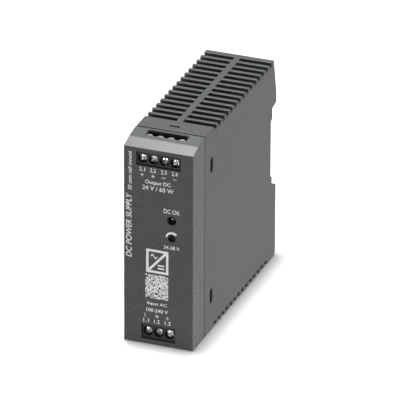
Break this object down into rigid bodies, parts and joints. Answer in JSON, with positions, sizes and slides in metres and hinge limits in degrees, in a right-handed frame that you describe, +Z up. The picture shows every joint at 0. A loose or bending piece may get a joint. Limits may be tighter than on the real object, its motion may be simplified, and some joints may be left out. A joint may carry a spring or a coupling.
{
  "type": "din rail power supply",
  "caption": "Slim dark grey DIN rail power supply with vented top and base, screw terminals, adjuster and sprung rail latch.",
  "frame": {"origin": "middle of the footprint, on the bottom face that the unit stands on", "axes": "+Z up along the unit's height, the front face looks along -Y and the rail notch along +Y, X is the width"},
  "size_m": [0.032, 0.103, 0.097],
  "materials": {
    "housing_plastic": "finely textured moulded polyamide, dark grey",
    "cover_plastic": "finely textured moulded polyamide, dark grey",
    "terminal_plastic": "black moulded polyamide",
    "latch_plastic": "black moulded acetal",
    "screw_steel": "bright zinc plated",
    "tinned_metal": "tin plated",
    "spring_steel": "drawn wire",
    "board_laminate": "green solder mask over glass laminate",
    "fuse_ceramic": "cream ceramic",
    "disc_blue": "dipped lacquer",
    "disc_green": "dipped lacquer",
    "film_case": "moulded yellow case",
    "ferrite": "sintered ferrite",
    "copper_wire": "enamelled copper wire",
    "winding_tape": "yellow tape over copper wire",
    "black_epoxy": "moulded epoxy",
    "capacitor_sleeve": "shrunk sleeve over an aluminium can",
    "aluminium": "mill finish sheet",
    "trimmer_blue": "moulded plastic",
    "trimmer_white": "moulded plastic",
    "lamp_lens": "tinted lens, unlit"
  },
  "bodies": {
    "housing": {"housing_shell": "housing_plastic", "front_cover": "cover_plastic", "output_terminal_block": "terminal_plastic", "input_terminal_block": "terminal_plastic", "latch_spring": "spring_steel", "main_board": "board_laminate", "input_fuse": "fuse_ceramic", "surge_varistor": "disc_blue", "inrush_thermistor": "disc_green", "input_film_capacitor": "film_case", "line_choke_core": "ferrite", "line_choke_winding_1": "copper_wire", "line_choke_winding_2": "copper_wire", "bridge_rectifier": "black_epoxy", "bulk_capacitor": "capacitor_sleeve", "primary_heatsink": "aluminium", "transformer_core": "ferrite", "transformer_winding": "winding_tape", "safety_capacitor": "disc_blue", "output_heatsink": "aluminium", "output_rectifier": "black_epoxy", "output_capacitor_1": "capacitor_sleeve", "output_capacitor_2": "capacitor_sleeve", "output_choke": "copper_wire", "optocoupler": "black_epoxy", "control_chip": "black_epoxy", "trimmer_body": "trimmer_blue", "status_lamp": "lamp_lens", "output_busbar_1": "tinned_metal", "output_busbar_2": "tinned_metal", "output_busbar_3": "tinned_metal", "output_busbar_4": "tinned_metal", "input_busbar_1": "tinned_metal", "input_busbar_2": "tinned_metal", "input_busbar_3": "tinned_metal"},
    "rail_latch": {"rail_latch": "latch_plastic"},
    "trimmer_rotor": {"trimmer_rotor": "trimmer_white"},
    "output_screw_1": {"output_screw_1": "screw_steel"},
    "output_clamp_1": {"output_clamp_1": "tinned_metal"},
    "output_screw_2": {"output_screw_2": "screw_steel"},
    "output_clamp_2": {"output_clamp_2": "tinned_metal"},
    "output_screw_3": {"output_screw_3": "screw_steel"},
    "output_clamp_3": {"output_clamp_3": "tinned_metal"},
    "output_screw_4": {"output_screw_4": "screw_steel"},
    "output_clamp_4": {"output_clamp_4": "tinned_metal"},
    "input_screw_1": {"input_screw_1": "screw_steel"},
    "input_clamp_1": {"input_clamp_1": "tinned_metal"},
    "input_screw_2": {"input_screw_2": "screw_steel"},
    "input_clamp_2": {"input_clamp_2": "tinned_metal"},
    "input_screw_3": {"input_screw_3": "screw_steel"},
    "input_clamp_3": {"input_clamp_3": "tinned_metal"}
  },
  "joints": [
    {"name": "latch_slide", "type": "slide", "parent": "housing", "child": "rail_latch", "axis": [0, 0, -1], "range_m": [0, 0.0035], "stiffness_N_per_m": 600, "springref_m": -0.003, "deforming": ["latch_spring"]},
    {"name": "trimmer_turn", "type": "hinge", "parent": "housing", "child": "trimmer_rotor", "pos_m": [0.0062, -0.0485, 0.0529], "axis": [0, 1, 0], "range_deg": [0, 240]},
    {"name": "output_screw_1_turn", "type": "hinge", "parent": "housing", "child": "output_screw_1", "pos_m": [-0.0075, -0.047, 0.0888], "axis": [0, 1, 0], "range_deg": [0, 1800]},
    {"name": "output_clamp_1_slide", "type": "slide", "parent": "housing", "child": "output_clamp_1", "axis": [0, -1, 0], "range_m": [0, 0.0025]},
    {"name": "output_screw_2_turn", "type": "hinge", "parent": "housing", "child": "output_screw_2", "pos_m": [-0.0025, -0.047, 0.0888], "axis": [0, 1, 0], "range_deg": [0, 1800]},
    {"name": "output_clamp_2_slide", "type": "slide", "parent": "housing", "child": "output_clamp_2", "axis": [0, -1, 0], "range_m": [0, 0.0025]},
    {"name": "output_screw_3_turn", "type": "hinge", "parent": "housing", "child": "output_screw_3", "pos_m": [0.0025, -0.047, 0.0888], "axis": [0, 1, 0], "range_deg": [0, 1800]},
    {"name": "output_clamp_3_slide", "type": "slide", "parent": "housing", "child": "output_clamp_3", "axis": [0, -1, 0], "range_m": [0, 0.0025]},
    {"name": "output_screw_4_turn", "type": "hinge", "parent": "housing", "child": "output_screw_4", "pos_m": [0.0075, -0.047, 0.0888], "axis": [0, 1, 0], "range_deg": [0, 1800]},
    {"name": "output_clamp_4_slide", "type": "slide", "parent": "housing", "child": "output_clamp_4", "axis": [0, -1, 0], "range_m": [0, 0.0025]},
    {"name": "input_screw_1_turn", "type": "hinge", "parent": "housing", "child": "input_screw_1", "pos_m": [-0.005, -0.047, 0.00595], "axis": [0, 1, 0], "range_deg": [0, 1800]},
    {"name": "input_clamp_1_slide", "type": "slide", "parent": "housing", "child": "input_clamp_1", "axis": [0, -1, 0], "range_m": [0, 0.0025]},
    {"name": "input_screw_2_turn", "type": "hinge", "parent": "housing", "child": "input_screw_2", "pos_m": [0, -0.047, 0.00595], "axis": [0, 1, 0], "range_deg": [0, 1800]},
    {"name": "input_clamp_2_slide", "type": "slide", "parent": "housing", "child": "input_clamp_2", "axis": [0, -1, 0], "range_m": [0, 0.0025]},
    {"name": "input_screw_3_turn", "type": "hinge", "parent": "housing", "child": "input_screw_3", "pos_m": [0.005, -0.047, 0.00595], "axis": [0, 1, 0], "range_deg": [0, 1800]},
    {"name": "input_clamp_3_slide", "type": "slide", "parent": "housing", "child": "input_clamp_3", "axis": [0, -1, 0], "range_m": [0, 0.0025]}
  ],
  "couplings": [
    {"joint": "output_screw_1_turn", "follows": "output_clamp_1_slide", "rad_per_m": 12566},
    {"joint": "output_screw_2_turn", "follows": "output_clamp_2_slide", "rad_per_m": 12566},
    {"joint": "output_screw_3_turn", "follows": "output_clamp_3_slide", "rad_per_m": 12566},
    {"joint": "output_screw_4_turn", "follows": "output_clamp_4_slide", "rad_per_m": 12566},
    {"joint": "input_screw_1_turn", "follows": "input_clamp_1_slide", "rad_per_m": 12566},
    {"joint": "input_screw_2_turn", "follows": "input_clamp_2_slide", "rad_per_m": 12566},
    {"joint": "input_screw_3_turn", "follows": "input_clamp_3_slide", "rad_per_m": 12566}
  ]
}
